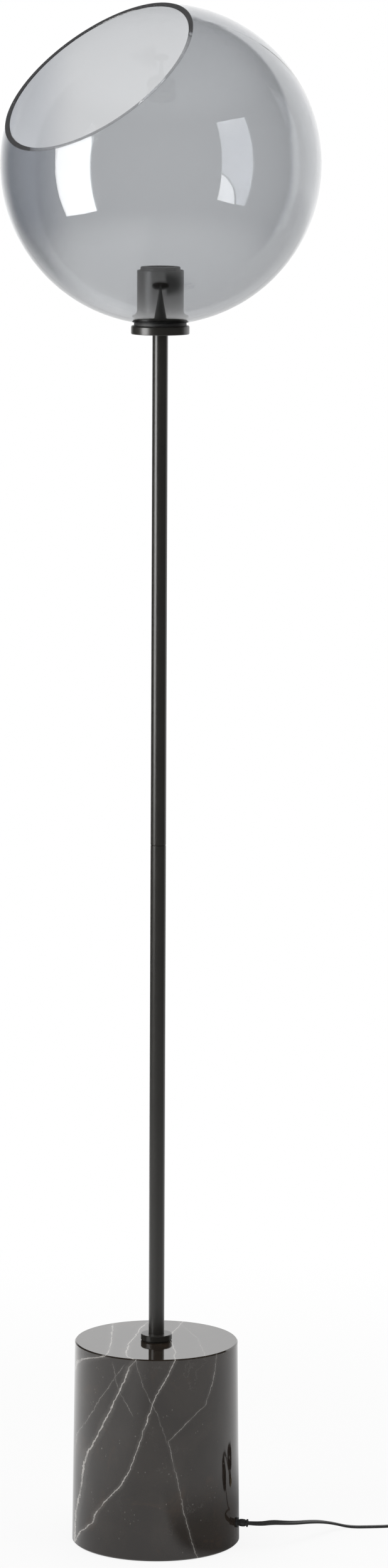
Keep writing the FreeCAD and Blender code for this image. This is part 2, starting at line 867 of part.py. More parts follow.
def switch_button():
    """Push button with a rounded crown, a flange that stops under the roof, and a guide stem."""
    r = button_d / 2
    top = case_h + button_proud
    flange_top_z = button_flange_top()
    flange_bottom_z = flange_top_z - button_flange_t
    edge = button_round
    k = edge * (1 - math.sqrt(0.5))
    crown_r = ((r - edge)**2 + button_crown**2) / (2 * button_crown)
    crown_middle = ((r - edge) / 2, top - crown_r + math.sqrt(crown_r**2 - (r - edge)**2 / 4))
    return switch_place(turned((0, flange_bottom_z - button_stem_l),
                               (button_stem_d / 2, flange_bottom_z - button_stem_l),
                               (button_stem_d / 2, flange_bottom_z),
                               (button_flange_d / 2, flange_bottom_z),
                               (button_flange_d / 2, flange_top_z),
                               (r, flange_top_z),
                               (r, top - button_crown - edge),
                               ((r - k, top - button_crown - k), (r - edge, top - button_crown)),
                               (crown_middle, (0, top))))


def switch_spring():
    """Return spring between its seat and the button's flange."""
    low = spring_seat_z + spring_wire_d / 2 + fit_gap
    high = button_flange_top() - button_flange_t - spring_wire_d / 2 - fit_gap
    coil_r = button_stem_d / 2 + button_gap + spring_seat_wall / 2 + spring_wire_d / 4

    def place(turn):
        a = 2 * math.pi * turn
        return Vector(coil_r * math.cos(a), coil_r * math.sin(a), low + (high - low) * turn / spring_turns)

    path = wound_path(place, spring_turns)
    print(f"switch spring: least gap {least_self_gap(path, spring_wire_d):.2f} mm")
    first = path.Edges[0]
    start = first.FirstParameter
    profile = round_profile(spring_wire_d, first.valueAt(start), first.tangentAt(start))
    return switch_place(swept(path, math.pi * spring_wire_d**2 / 4, profile, "switch spring"))


def switch_contacts():
    length, height, thickness = contact_blade
    return switch_place(group(block(length, thickness, case_wall, case_wall + height, sx * contact_blade_x,
                                    sy * contact_blade_y)
                              for sx in (-1, 1) for sy in (-1, 1)))


def switch_screws():
    screws = []
    for x in screw_places():
        screw = rod(case_head_d, fit_gap, case_head_t, x)
        screws.append(screw.fuse(rod(case_screw_d - 2 * thread_gap, case_head_t, case_screw_l, x)))
    return switch_place(group(screws))


# Routes of the cord on the floor, chosen by hand
def cord_exit(along=0.0):
    return turned_vector(cord_azimuth, relief_seat_r() + relief_out_l + along, cord_hole_z)


def lamp_cord():
    """From the strain relief, down to the floor and to the right, into the near end of the switch."""
    entry_x = switch_x - case_l / 2 - neck_l
    points = [cord_exit(), cord_exit(12.5), Vector(120, -28.2, 25.2), Vector(133, -21.5, 22.8),
              Vector(146, -9, 19.4), Vector(158, 5, 16.4), Vector(171, 20, 12.4), Vector(185, 33, 7.0),
              Vector(202, 39.5, cord_floor_z), Vector(226, 41, cord_floor_z), Vector(247, 43.5, cord_floor_z),
              Vector(265, switch_y - 0.2, 4.4), Vector(entry_x - 5, switch_y, case_part_z),
              Vector(entry_x + neck_l + cord_inside_case, switch_y, case_part_z)]
    return cord_along(points, "lamp cord")


def loop_cord():
    """From the far end of the switch, round behind it to the coil."""
    exit_x = switch_x + case_l / 2 + neck_l
    points = [Vector(exit_x - neck_l - cord_inside_case, switch_y, case_part_z),
              Vector(exit_x + 6, switch_y, case_part_z), Vector(395, 45.8, 4.4),
              Vector(410, 50, cord_floor_z), Vector(423, 60, cord_floor_z), Vector(430.5, 75, cord_floor_z),
              Vector(430.2, 92, cord_floor_z), Vector(421.5, 106, cord_floor_z),
              Vector(406, 115, cord_floor_z), Vector(389, 117.5, 3.0),
              Vector(373, coil_y - coil_outer_r, coil_floor_z),
              Vector(coil_x + cord_w, coil_y - coil_outer_r, coil_floor_z)]
    return cord_along(points, "loop cord")


def cord_coil():
    """Put-away cord: it spirals in clockwise on the floor, climbs a layer and spirals out again."""
    last = 2 * coil_turns
    lead = Vector(-cord_w, 0, 0)

    def place(turn):
        a = math.radians(coil_start_azimuth) - 2 * math.pi * turn
        r = coil_inner_r + coil_pitch * abs(turn - coil_turns)
        climb = min(max(2 * (turn - coil_turns) + 0.5, 0.0), 1.0)
        z = coil_floor_z + coil_pitch * (1 - math.cos(math.pi * climb)) / 2
        return Vector(coil_x + r * math.cos(a), coil_y + r * math.sin(a), z)

    path = wound_path(place, last, lead)
    print(f"cord coil: {path.Length:.0f} mm, least gap to itself {least_self_gap(path, cord_w):.2f} mm")
    profile = round_profile(cord_w, place(0) - lead, lead)
    return swept(path, math.pi * cord_w**2 / 4, profile, "cord coil")


def plug_cord():
    """From the top of the coil, down beside it to the plug."""
    high = coil_floor_z + coil_pitch
    side = coil_y - coil_outer_r
    points = [Vector(coil_x - cord_w, side, high), Vector(coil_x - cord_w - 11.1, side, high),
              Vector(327.5, 114.9, 8.7), Vector(plug_x + 11.5, plug_y, plug_h / 2),
              Vector(plug_x, plug_y, plug_h / 2)]
    return cord_along(points, "plug cord")


def cord_tie():
    """Flat band closed round the coil's turns."""
    low = coil_floor_z - cord_w / 2 - tie_gap
    high = coil_floor_z + coil_pitch + cord_w / 2 + tie_gap
    inner = coil_inner_r - cord_w / 2 - tie_gap
    outer = coil_outer_r + cord_w / 2 + tie_gap
    middle = (inner + outer) / 2
    band = block(outer - inner + 2 * tie_t, tie_w, low - tie_t, high + tie_t, middle)
    hole = block(outer - inner, tie_w + 1, low, high, middle)
    upright = [e for e in band.Edges if abs(e.BoundBox.YLength - tie_w) < 1e-6]
    band = band.makeFillet(2 * tie_t, upright)
    inside = hole.makeFillet(tie_t, [e for e in hole.Edges if abs(e.BoundBox.YLength - tie_w - 1) < 1e-6])
    band = band.cut(inside)
    band.Placement = Placement(Vector(coil_x, coil_y, 0), Rotation(Vector(0, 0, 1), tie_azimuth))
    return band


# Plug, modelled from its cord end along X and then turned to point its blades towards -X
def plug_place(shape):
    shape.Placement = Placement(Vector(plug_x, plug_y, plug_h / 2), Rotation(Vector(0, 0, 1), 180))
    return shape


def rounded_section(x, width, height, corner):
    """Rounded rectangle across X, as a closed wire."""
    w, h, c = width / 2, height / 2, corner
    k = c * (1 - math.sqrt(0.5))
    edges = []
    corners = [(w, h, 1, 1), (-w, h, -1, 1), (-w, -h, -1, -1), (w, -h, 1, -1)]
    for i, (y, z, sy, sz) in enumerate(corners):
        first, second = Vector(x, y, z - sz * c), Vector(x, y - sy * c, z)
        if i % 2:
            first, second = second, first
        edges.append(Part.Arc(first, Vector(x, y - sy * k, z - sz * k), second).toShape())
        ny, nz, nsy, nsz = corners[(i + 1) % 4]
        following = Vector(x, ny - nsy * c, nz) if i % 2 == 0 else Vector(x, ny, nz - nsz * c)
        edges.append(Part.LineSegment(second, following).toShape())
    return Part.Wire(edges)


def blade_places():
    return zip((-blade_apart / 2, blade_apart / 2), blade_widths)


def plug_body():
    """Moulded plug: a neck for the cord, shoulders, and a grip that narrows a little to its face."""
    shoulder = plug_neck_l + plug_shoulder_l
    sections = [rounded_section(0, plug_neck_w * plug_neck_draft, plug_neck_h * plug_neck_draft, plug_corner),
                rounded_section(plug_neck_l, plug_neck_w, plug_neck_h, plug_corner),
                rounded_section(shoulder, plug_w * plug_draft, plug_h * plug_draft, plug_corner),
                rounded_section((plug_l + shoulder) / 2, plug_w, plug_h, plug_corner),
                rounded_section(plug_l, plug_w * plug_draft, plug_h * plug_draft, plug_corner)]
    body = Part.makeLoft(sections, True, True)
    slots = []
    for y, width in blade_places():
        slot = block(blade_held_l, blade_t + 2 * thread_gap, -width / 2 - thread_gap, width / 2 + thread_gap,
                     plug_l - blade_held_l / 2, y)
        slots.append(slot)
    return plug_place(body.cut(slots))


def plug_blades():
    blades = []
    length = blade_l + blade_held_l
    for y, width in blade_places():
        blade = block(length, blade_t, -width / 2, width / 2, plug_l - blade_held_l + length / 2, y)
        tip = plug_l + blade_l
        ends = [e for e in blade.Edges
                if abs(e.BoundBox.XMin - tip) < 1e-6 and e.BoundBox.YLength > blade_t / 2]
        blade = blade.makeFillet(width / 5, ends)
        hole_start = Vector(tip - blade_hole_from_tip, y - blade_t / 2 - 1, 0)
        hole = Part.makeCylinder(blade_hole_d / 2, blade_t + 2, hole_start, Vector(0, 1, 0))
        blades.append(blade.cut(hole))
    return plug_place(group(blades))


nodes = {
    "floor_pad": floor_pad,
    "marble_base": marble_base,
    "retaining_plate": retaining_plate,
    "lock_washer": lock_washer,
    "base_nut": base_nut,
    "tie_tube": tie_tube,
    "collar_gasket": collar_gasket,
    "base_collar": base_collar,
    "lower_stem": lambda: stem_tube(stem_foot, stem_joint),
    "lower_stem_foot_insert": lambda: threaded_insert(stem_foot),
    "lower_stem_head_insert": lambda: threaded_insert(stem_joint - insert_l),
    "stem_coupler": stem_coupler,
    "upper_stem": lambda: stem_tube(stem_joint, stem_head),
    "upper_stem_foot_insert": lambda: threaded_insert(stem_joint),
    "upper_stem_head_insert": lambda: threaded_insert(stem_head - insert_l),
    "globe_flange": globe_flange,
    "flange_nipple": flange_nipple,
    "lower_gasket": lower_gasket,
    "glass_globe": glass_globe,
    "upper_gasket": upper_gasket,
    "socket_cup": socket_cup,
    "cup_washer": cup_washer,
    "cup_nut": cup_nut,
    "holder_cap": holder_cap,
    "holder_insert": holder_insert,
    "holder_skirt": holder_skirt,
    "screw_shell": screw_shell,
    "centre_contact": centre_contact,
    "terminal_plates": terminal_plates,
    "terminal_screws": terminal_screws,
    "conductors": conductors,
    "inner_cord": inner_cord,
    "strain_relief": strain_relief,
    "lamp_cord": lamp_cord,
    "switch_lower_case": switch_lower_case,
    "switch_upper_case": switch_upper_case,
    "switch_button": switch_button,
    "switch_spring": switch_spring,
    "switch_contacts": switch_contacts,
    "switch_screws": switch_screws,
    "loop_cord": loop_cord,
    "cord_coil": cord_coil,
    "cord_tie": cord_tie,
    "plug_cord": plug_cord,
    "plug_body": plug_body,
    "plug_blades": plug_blades,
}

os.makedirs("parts", exist_ok=True)
for name, make in nodes.items():
    shape = make()
    shape.exportStep(f"parts/{name}.step")
    state = "valid" if shape.isValid() else "NOT VALID"
    print(f"{name}: {len(shape.Solids)} solid, {shape.Volume / 1000:.3f} cm3, {state}")
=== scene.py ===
import math
import bpy
from mathutils import Matrix, Vector


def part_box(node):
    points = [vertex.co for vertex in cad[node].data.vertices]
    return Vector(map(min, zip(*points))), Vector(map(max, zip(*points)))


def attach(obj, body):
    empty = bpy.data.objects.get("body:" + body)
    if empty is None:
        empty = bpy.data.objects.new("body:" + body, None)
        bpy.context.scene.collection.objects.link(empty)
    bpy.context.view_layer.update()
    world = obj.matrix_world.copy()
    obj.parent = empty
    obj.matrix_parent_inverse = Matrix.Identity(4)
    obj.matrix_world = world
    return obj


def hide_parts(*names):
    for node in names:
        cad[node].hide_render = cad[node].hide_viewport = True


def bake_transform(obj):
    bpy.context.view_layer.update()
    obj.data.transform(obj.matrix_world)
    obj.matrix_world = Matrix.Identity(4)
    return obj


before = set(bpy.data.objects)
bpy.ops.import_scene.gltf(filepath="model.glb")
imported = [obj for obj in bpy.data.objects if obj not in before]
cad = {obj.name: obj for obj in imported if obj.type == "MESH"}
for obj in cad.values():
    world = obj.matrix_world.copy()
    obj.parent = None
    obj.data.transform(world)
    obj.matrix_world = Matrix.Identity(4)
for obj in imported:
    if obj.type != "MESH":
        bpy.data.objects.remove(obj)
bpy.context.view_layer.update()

mm = 0.001
print("frame loaded:", len(cad), "pieces")


# The globe's middle, and the tilted plane of its mouth, as mm away from the middle and degrees
globeLow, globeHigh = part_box("glass_globe")
globeCentre = (0, 0, globeLow[2] + (globeHigh[0] - globeLow[0]) / 2)
mouthPlan = {"away": 121.3, "tilt": 42.0, "azimuth": 218.5}
tilt, azimuth = math.radians(mouthPlan["tilt"]), math.radians(mouthPlan["azimuth"])
mouth = {"away": mouthPlan["away"] * mm,
         "way": (math.sin(tilt) * math.cos(azimuth), math.sin(tilt) * math.sin(azimuth), math.cos(tilt))}


# Shader sums are written as Python expressions
class Wire:
    def __init__(self, finish, socket):
        self.finish = finish
        self.socket = socket

    def math(self, operation, first, second=None):
        values = [first] if second is None else [first, second]
        return self.finish.node("ShaderNodeMath", {"operation": operation}, dict(enumerate(values)))

    def __add__(self, other):
        return self.math("ADD", self, other)

    def __radd__(self, other):
        return self.math("ADD", other, self)

    def __sub__(self, other):
        return self.math("SUBTRACT", self, other)

    def __rsub__(self, other):
        return self.math("SUBTRACT", other, self)

    def __mul__(self, other):
        return self.math("MULTIPLY", self, other)

    def __rmul__(self, other):
        return self.math("MULTIPLY", other, self)

    def __truediv__(self, other):
        return self.math("DIVIDE", self, other)

    def __rtruediv__(self, other):
        return self.math("DIVIDE", other, self)

    def __pow__(self, other):
        return self.math("POWER", self, other)

    def size(self):
        return self.math("ABSOLUTE", self)

    def highest(self, other):
        return self.math("MAXIMUM", self, other)

    def lowest(self, other):
        return self.math("MINIMUM", self, other)


# Where a material's nodes stand in its editor
nodeGrid = {"columns": 9, "wide": 220, "high": 260, "left": 2200}


class Finish:
    # One material or world. node() makes every node of it; colours and vectors have their own mixes
    def __init__(self, name, kind="materials", output="ShaderNodeOutputMaterial"):
        self.material = getattr(bpy.data, kind).new(name)
        self.material.use_nodes = True
        self.tree = self.material.node_tree
        self.tree.nodes.clear()
        self.result = self.tree.nodes.new(output)
        self.count = 0

    def node(self, kind, settings=None, sockets=None, take=0):
        made = self.tree.nodes.new(kind)
        self.count += 1
        row, column = divmod(self.count, nodeGrid["columns"])
        made.location = (nodeGrid["wide"] * column - nodeGrid["left"], -nodeGrid["high"] * row)
        for key, value in (settings or {}).items():
            if key == "curve":
                self.setCurve(made, value)
            else:
                setattr(made, key, value)
        for key, value in (sockets or {}).items():
            socket = made.inputs[key]
            if isinstance(value, Wire):
                self.tree.links.new(value.socket, socket)
            else:
                socket.default_value = value
        return Wire(self, made.outputs[take])

    def setCurve(self, made, points):
        # Straight from point to point
        curve = made.mapping.curves[0]
        while len(curve.points) < len(points):
            curve.points.new(0.5, 0.5)
        for point, (x, y) in zip(curve.points, points):
            point.location = (x, y)
            point.handle_type = "VECTOR"
        made.mapping.update()

    def place(self):
        return self.node("ShaderNodeTexCoord", None, None, "Object")

    def moved(self, place, scale=(1, 1, 1), shift=(0, 0, 0)):
        return self.node("ShaderNodeMapping", None, {"Vector": place, "Scale": scale, "Location": shift})

    def parts(self, vector):
        split = self.node("ShaderNodeSeparateXYZ", None, {0: vector}).socket.node
        return [Wire(self, socket) for socket in split.outputs]

    def noise(self, place, scale, detail=3.0, rough=0.5, warp=0.0):
        sockets = {"Vector": place, "Scale": scale, "Detail": detail, "Roughness": rough, "Distortion": warp}
        return self.node("ShaderNodeTexNoise", None, sockets, "Fac")

    def cells(self, place, scale):
        return self.node("ShaderNodeTexVoronoi", None, {"Vector": place, "Scale": scale}, "Distance")

    def step(self, value, low, high, outLow=0.0, outHigh=1.0):
        # Runs smoothly from outLow at low to outHigh at high, and low may be the greater of the two
        sockets = {"Value": value, "From Min": low, "From Max": high, "To Min": outLow, "To Max": outHigh}
        return self.node("ShaderNodeMapRange", {"interpolation_type": "SMOOTHSTEP"}, sockets)

    def blend(self, share, first, second):
        first = first if isinstance(first, Wire) else (*first, 1)
        second = second if isinstance(second, Wire) else (*second, 1)
        return self.node("ShaderNodeMix", {"data_type": "RGBA"}, {0: share, 6: first, 7: second}, 2)

    def bump(self, height, depth, strength=1.0):
        return self.node("ShaderNodeBump", None, {"Height": height, "Distance": depth, "Strength": strength})

    def principled(self, sockets):
        return self.node("ShaderNodeBsdfPrincipled", {"distribution": "MULTI_GGX"}, sockets)

    def mixed(self, share, first, second):
        return self.node("ShaderNodeMixShader", None, {0: share, 1: first, 2: second})

    def glow(self, strength):
        return self.node("ShaderNodeEmission", None, {"Color": (1, 1, 1, 1), "Strength": strength})

    def backOnly(self):
        return self.node("ShaderNodeNewGeometry", None, None, "Backfacing")

    def ended(self, shader, socket="Surface"):
        self.tree.links.new(shader.socket, self.result.inputs[socket])
        return self.material


def placed(name, data):
    obj = bpy.data.objects.new(name, data)
    bpy.context.scene.collection.objects.link(obj)
    return obj


# Finishes. Scales are features per metre and depths are metres
satinBlack = {"colour": (0.0215, 0.0205, 0.0182), "paleColour": (0.03, 0.0285, 0.0255), "gloss": 0.29,
              "metal": 0.0, "specular": 0.5, "cloudScale": 38, "dustScale": 3200, "grimeScale": 9,
              "grimeFrom": 0.42, "grimeTo": 0.7, "peelScale": 950, "peelDepth": 0.00002}
softBlack = {**satinBlack, "gloss": 0.4}


def paintedMetal(name, look):
    made = Finish(name)
    place = made.place()
    cloud = made.noise(place, look["cloudScale"], 4)
    peel = made.noise(place, look["peelScale"], 2)
    dust = made.noise(place, look["dustScale"], 1)
    grime = made.step(made.noise(place, look["grimeScale"], 5, 0.6), look["grimeFrom"], look["grimeTo"])
    colour = made.blend(cloud * 0.5 + dust * 0.2, look["colour"], look["paleColour"])
    gloss = look["gloss"] + (cloud - 0.5) * 0.06 + grime * 0.03 + (dust - 0.5) * 0.05
    return made.ended(made.principled({"Base Color": colour, "Roughness": gloss, "Metallic": look["metal"],
                                       "Specular IOR Level": look["specular"],
                                       "Normal": made.bump(peel, look["peelDepth"], 0.5)}))


# Lean: how far the side's veins shift across for each metre of depth behind leanFrom
marbleLook = {"ground": (0.0165, 0.012, 0.009), "cloud": (0.029, 0.0225, 0.0175),
              "rust": (0.075, 0.042, 0.022), "vein": (0.44, 0.42, 0.395),
              "gloss": 0.05, "ior": 1.53, "lean": 0.55, "leanFrom": -0.02,
              "topFrom": 0.6, "topTo": 0.2, "wander": 3.4, "jag": 2.6, "rustShare": 0.3, "threads": 0.12,
              "flecks": 0.34, "dots": 0.3, "pale": 0.9}
marbleScale = {"wander": 95, "jag": 330, "width": 26, "gaps": 46, "dots": 300, "dotPatches": 60, "web": 11,
               "threadPatches": 17, "flecks": 130, "fleckPatches": 31, "cloud": 17, "rust": 23,
               "polish": 420, "wave": 60}

# One vein's make-up. Reach and ends are mm, core and halo are in widths of the vein
veinLook = {"reach": 200, "ends": 4, "thin": 0.3, "swell": 1.1, "coreFull": 0.35, "coreEdge": 1.0,
            "haloFull": 0.8, "haloEdge": 6.0, "halo": 0.1, "gapsFrom": 0.33, "gapsTo": 0.52, "kept": 0.25}

# Veins of the side, in mm. Each runs through (height, across) points on the front and leans away at the back
sideVeins = [
    {"name": "broad", "wide": 1.15, "strength": 1.0,
     "route": [(-9, -84), (36, -82), (66, -76), (89, -74), (103, -70), (120, -61), (141, -52), (163, -42),
               (185, -32), (199, -28), (212, -17)]},
    {"name": "middle", "wide": 0.85, "strength": 0.95,
     "route": [(-9, -88), (18, -77), (33, -64), (42, -62), (57, -52), (75, -37), (93, -27), (118, -18),
               (152, -7), (171, 0), (190, 11), (212, 22)]},
    {"name": "right", "wide": 0.6, "strength": 0.5,
     "route": [(-9, 46), (9, 40), (52, 28), (76, 24), (104, 17), (124, 13), (147, 37), (157, 50), (179, 58),
               (212, 63)]},
    {"name": "left thread", "wide": 0.45, "strength": 0.45,
     "route": [(80, -86), (117, -81), (141, -68), (164, -56), (193, -38), (200, -33)]},
    {"name": "short thread", "wide": 0.4, "strength": 0.4,
     "route": [(150, -24), (163, -32), (176, -39), (189, -42), (200, -44)]},
    {"name": "right thread", "wide": 0.4, "strength": 0.35,
     "route": [(120, 12), (150, 2), (164, -5), (179, -13), (201, -20), (212, -22)]},
    {"name": "edge", "wide": 2.2, "strength": 0.8,
     "route": [(180, -86), (189, -82), (196, -76), (201, -68), (205, -56), (212, -44)]},
]
sideSpan = {"low": -10, "over": 8}

# Veins of the top, through (depth, across) points
topVeins = [
    {"name": "left", "wide": 1.1, "strength": 0.75,
     "route": [(-86, -60), (-69, -52), (-44, -48), (-20, -47), (22, -46), (86, -45)]},
    {"name": "centre", "wide": 1.2, "strength": 0.85,
     "route": [(-86, -20), (-70, -29), (-56, -31), (-16, -28), (13, -22), (51, -16), (86, -4)]},
    {"name": "right", "wide": 0.8, "strength": 0.7,
     "route": [(-86, 20), (-68, 18), (-52, 20), (-24, 17), (10, 12), (86, 30)]},
    {"name": "faint", "wide": 0.6, "strength": 0.3,
     "route": [(-86, 52), (-60, 49), (-28, 46), (5, 43), (86, 20)]},
]
topSpan = 90


def veinLine(made, along, across, low, high, vein, seed, place, shake):
    # How strongly one vein shows at a point. The route runs between low and high, in mm
    look, reach, span = veinLook, veinLook["reach"], high - low
    curve = [((a - low) / span, 0.5 + b / reach) for a, b in vein["route"]]
    line = made.node("ShaderNodeFloatCurve", {"curve": curve}, {"Value": (along / mm - low) / span})
    away = (across / mm - (line - 0.5) * reach + shake).size()
    first, last = vein["route"][0][0], vein["route"][-1][0]
    ends = (made.step(along / mm, first - look["ends"], first + look["ends"])
            * made.step(along / mm, last + look["ends"], last - look["ends"]))
    width = made.noise(made.moved(place, shift=(seed, 0.3 * seed, 0)), marbleScale["width"], 3)
    wide = vein["wide"] * (look["thin"] + look["swell"] * width)
    core = made.step(away / wide, look["coreEdge"], look["coreFull"])
    halo = made.step(away / wide, look["haloEdge"], look["haloFull"]) * look["halo"]
    gaps = made.noise(made.moved(place, shift=(0, seed, 0.5 * seed)), marbleScale["gaps"], 4, 0.65)
    broken = made.step(gaps, look["gapsFrom"], look["gapsTo"])
    return (core * (look["kept"] + (1 - look["kept"]) * broken) + halo) * ends * vein["strength"]


def veinedMarble():
    look, scale = marbleLook, marbleScale
    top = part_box("marble_base")[1][2] / mm
    made = Finish("polished_marble")
    place = made.place()
    x, y, z = made.parts(place)
    shake = ((made.noise(place, scale["wander"], 3, 0.65) - 0.5) * look["wander"]
             + (made.noise(place, scale["jag"], 2, 0.6) - 0.5) * look["jag"])
    onTop = made.step(z / mm, top - look["topFrom"], top - look["topTo"])
    leant = x - look["lean"] * (y - look["leanFrom"]).highest(0)
    side, upper = 0.0, 0.0
    for i, vein in enumerate(sideVeins):
        line = veinLine(made, z, leant, sideSpan["low"], top + sideSpan["over"], vein, i, place, shake)
        side = line.highest(side)
    for i, vein in enumerate(topVeins, len(sideVeins) + 2):
        upper = veinLine(made, y, x, -topSpan, topSpan, vein, i, place, shake).highest(upper)
    veins = side * (1 - onTop) + upper * onTop
    dots = (made.step(made.cells(made.moved(place, (1, 1, 0.6)), scale["dots"]), 0.2, 0.08)
            * made.step(made.noise(place, scale["dotPatches"], 2), 0.55, 0.68))
    web = made.noise(place, scale["web"], 7, 0.66, 0.2)
    threads = (made.step((web - 0.5).size(), 0.006, 0.001)
               * made.step(made.noise(place, scale["threadPatches"], 3), 0.52, 0.7))
    flecks = (made.step(made.cells(place, scale["flecks"]), 0.16, 0.07)
              * made.step(made.noise(place, scale["fleckPatches"], 2), 0.56, 0.7))
    cloud = made.noise(place, scale["cloud"], 6, 0.62, 0.5)
    ground = made.blend(made.step(cloud, 0.35, 0.72), look["ground"], look["cloud"])
    rust = made.step(made.noise(place, scale["rust"], 5, 0.65, 0.8), 0.56, 0.74) * look["rustShare"]
    ground = made.blend(rust, ground, look["rust"])
    pale = veins.highest(threads * look["threads"])
    pale = pale.highest(flecks * look["flecks"]).highest(dots * look["dots"])
    colour = made.blend(pale * look["pale"], ground, look["vein"])
    gloss = look["gloss"] + pale * 0.06 + made.noise(place, scale["polish"], 2) * 0.03
    wave = made.bump(made.noise(place, scale["wave"], 2), 0.00001, 0.2)
    return made.ended(made.principled({"Base Color": colour, "Roughness": gloss, "IOR": look["ior"],
                                       "Normal": wave}))


# Painted shade: the glass's tint darkens at the globe's upper left, over distances left of the axis and heights
# about the middle, in metres
glassLook = {"tint": (0.93, 0.935, 0.94), "paintedShadeTint": (0.76, 0.775, 0.805),
             "paintedShadeFrom": 0.085, "paintedShadeTo": 0.135, "paintedShadeLow": -0.105, "paintedShadeHigh": -0.045,
             "absorb": (0.0, 0.03, 0.075), "density": 80.0, "ior": 1.5, "waveScale": 7, "waveDepth": 0.0004,
             "rim": (0.13, 0.13, 0.135), "rimShare": 0.4, "rimGloss": 0.45,
             "rimFrom": 0.7 * mm, "rimTo": 0.4 * mm, "gritScale": 1200, "gritDepth": 0.00003}


def smokedGlass():
    # The mouth is ground flat, so its edge is part matt
    look = glassLook
    made = Finish("smoked_glass")
    place = made.place()
    x, y, z = made.parts(place)
    wave = made.noise(place, look["waveScale"], 2, 0.4)
    # Painted shade: a darker tint at the upper left of the globe
    paintedShade = (made.step(-1 * x, look["paintedShadeFrom"], look["paintedShadeTo"])
             * made.step(z - globeCentre[2], look["paintedShadeLow"], look["paintedShadeHigh"]))
    glass = made.principled({"Base Color": made.blend(paintedShade, look["tint"], look["paintedShadeTint"]),
                             "Roughness": 0.0, "IOR": look["ior"], "Transmission Weight": 1.0,
                             "Normal": made.bump(wave, look["waveDepth"], 0.15)})
    fromMiddle = made.moved(place, shift=[-c for c in globeCentre])
    away = made.node("ShaderNodeVectorMath", {"operation": "DOT_PRODUCT"},
                     {0: fromMiddle, 1: mouth["way"]}, "Value")
    rim = made.step(away, mouth["away"] - look["rimFrom"], mouth["away"] - look["rimTo"])
    grit = made.noise(place, look["gritScale"], 2)
    matt = made.principled({"Base Color": (*look["rim"], 1), "Roughness": look["rimGloss"],
                            "Normal": made.bump(grit, look["gritDepth"], 0.6)})
    made.ended(made.mixed(rim * look["rimShare"], glass, matt))
    absorbed = {"Color": (*look["absorb"], 1), "Density": look["density"]}
    return made.ended(made.node("ShaderNodeVolumeAbsorption", None, absorbed), "Volume")


mouldingLook = {"cloudScale": 55, "cloudGloss": 0.12, "skinGloss": 0.08}


def moulding(name, colour, pale, gloss, grain=1400, depth=0.00003, specular=0.5):
    look = mouldingLook
    made = Finish(name)
    place = made.place()
    cloud = made.noise(place, look["cloudScale"], 4)
    skin = made.noise(place, grain, 3, 0.6)
    rough = gloss + (cloud - 0.5) * look["cloudGloss"] + (skin - 0.5) * look["skinGloss"]
    return made.ended(made.principled({"Base Color": made.blend(cloud * 0.6 + skin * 0.3, colour, pale),
                                       "Roughness": rough, "Specular IOR Level": specular,
                                       "Normal": made.bump(skin, depth, 0.6)}))


metalLook = {"brushed": (1, 1, 14), "lineScale": 900, "lineGloss": 0.16, "lineDepth": 0.00001,
             "stainScale": 60, "stainGloss": 0.08}


def bareMetal(name, colour, pale, gloss):
    look = metalLook
    made = Finish(name)
    place = made.place()
    lines = made.noise(made.moved(place, look["brushed"]), look["lineScale"], 2)
    stain = made.noise(place, look["stainScale"], 5, 0.6)
    rough = gloss + (lines - 0.5) * look["lineGloss"] + stain * look["stainGloss"]
    return made.ended(made.principled({"Base Color": made.blend(stain, colour, pale), "Metallic": 1.0,
                                       "Roughness": rough, "Normal": made.bump(lines, look["lineDepth"], 0.4)}))


feltLook = {"colour": (0.012, 0.012, 0.012), "pale": (0.05, 0.05, 0.05), "gloss": 0.95, "sheen": 0.4,
            "fibreScale": 2600, "fibreDepth": 0.0002}


def pressedFelt():
    made = Finish("black_felt")
    fibre = made.noise(made.place(), feltLook["fibreScale"], 4, 0.8, 1.5)
    tone = made.blend(fibre, feltLook["colour"], feltLook["pale"])
    return made.ended(made.principled({"Base Color": tone, "Roughness": feltLook["gloss"],
                                       "Sheen Weight": feltLook["sheen"],
                                       "Normal": made.bump(fibre, feltLook["fibreDepth"], 0.9)}))


finishes = {
    "marble": veinedMarble(),
    "black_metal": paintedMetal("satin_black_paint", satinBlack),
    "black_spun": paintedMetal("soft_black_paint", softBlack),
    "smoked_glass": smokedGlass(),
    "silicone": moulding("black_silicone", (0.02, 0.02, 0.02), (0.035, 0.035, 0.035), 0.55),
    "felt": pressedFelt(),
    "zinc_steel": bareMetal("zinc_steel", (0.52, 0.53, 0.53), (0.66, 0.66, 0.64), 0.3),
    "brass": bareMetal("bare_brass", (0.62, 0.43, 0.17), (0.76, 0.57, 0.27), 0.22),
    "copper": bareMetal("bare_copper", (0.68, 0.31, 0.17), (0.78, 0.42, 0.26), 0.3),
    "black_phenolic": moulding("black_phenolic", (0.018, 0.017, 0.0165), (0.03, 0.029, 0.028),
                               0.5, 800, 0.00001, 0.3),
    "porcelain": moulding("white_porcelain", (0.7, 0.69, 0.65), (0.8, 0.79, 0.76), 0.12, 300, 0.00001),
    "black_moulding": moulding("black_moulding", (0.022, 0.022, 0.022), (0.034, 0.034, 0.034),
                               0.42, 1500, 0.00004),
    "cord_sheath": moulding("cord_sheath", (0.028, 0.028, 0.028), (0.042, 0.042, 0.042),
                            0.5, 1100, 0.00002, 0.3),
}
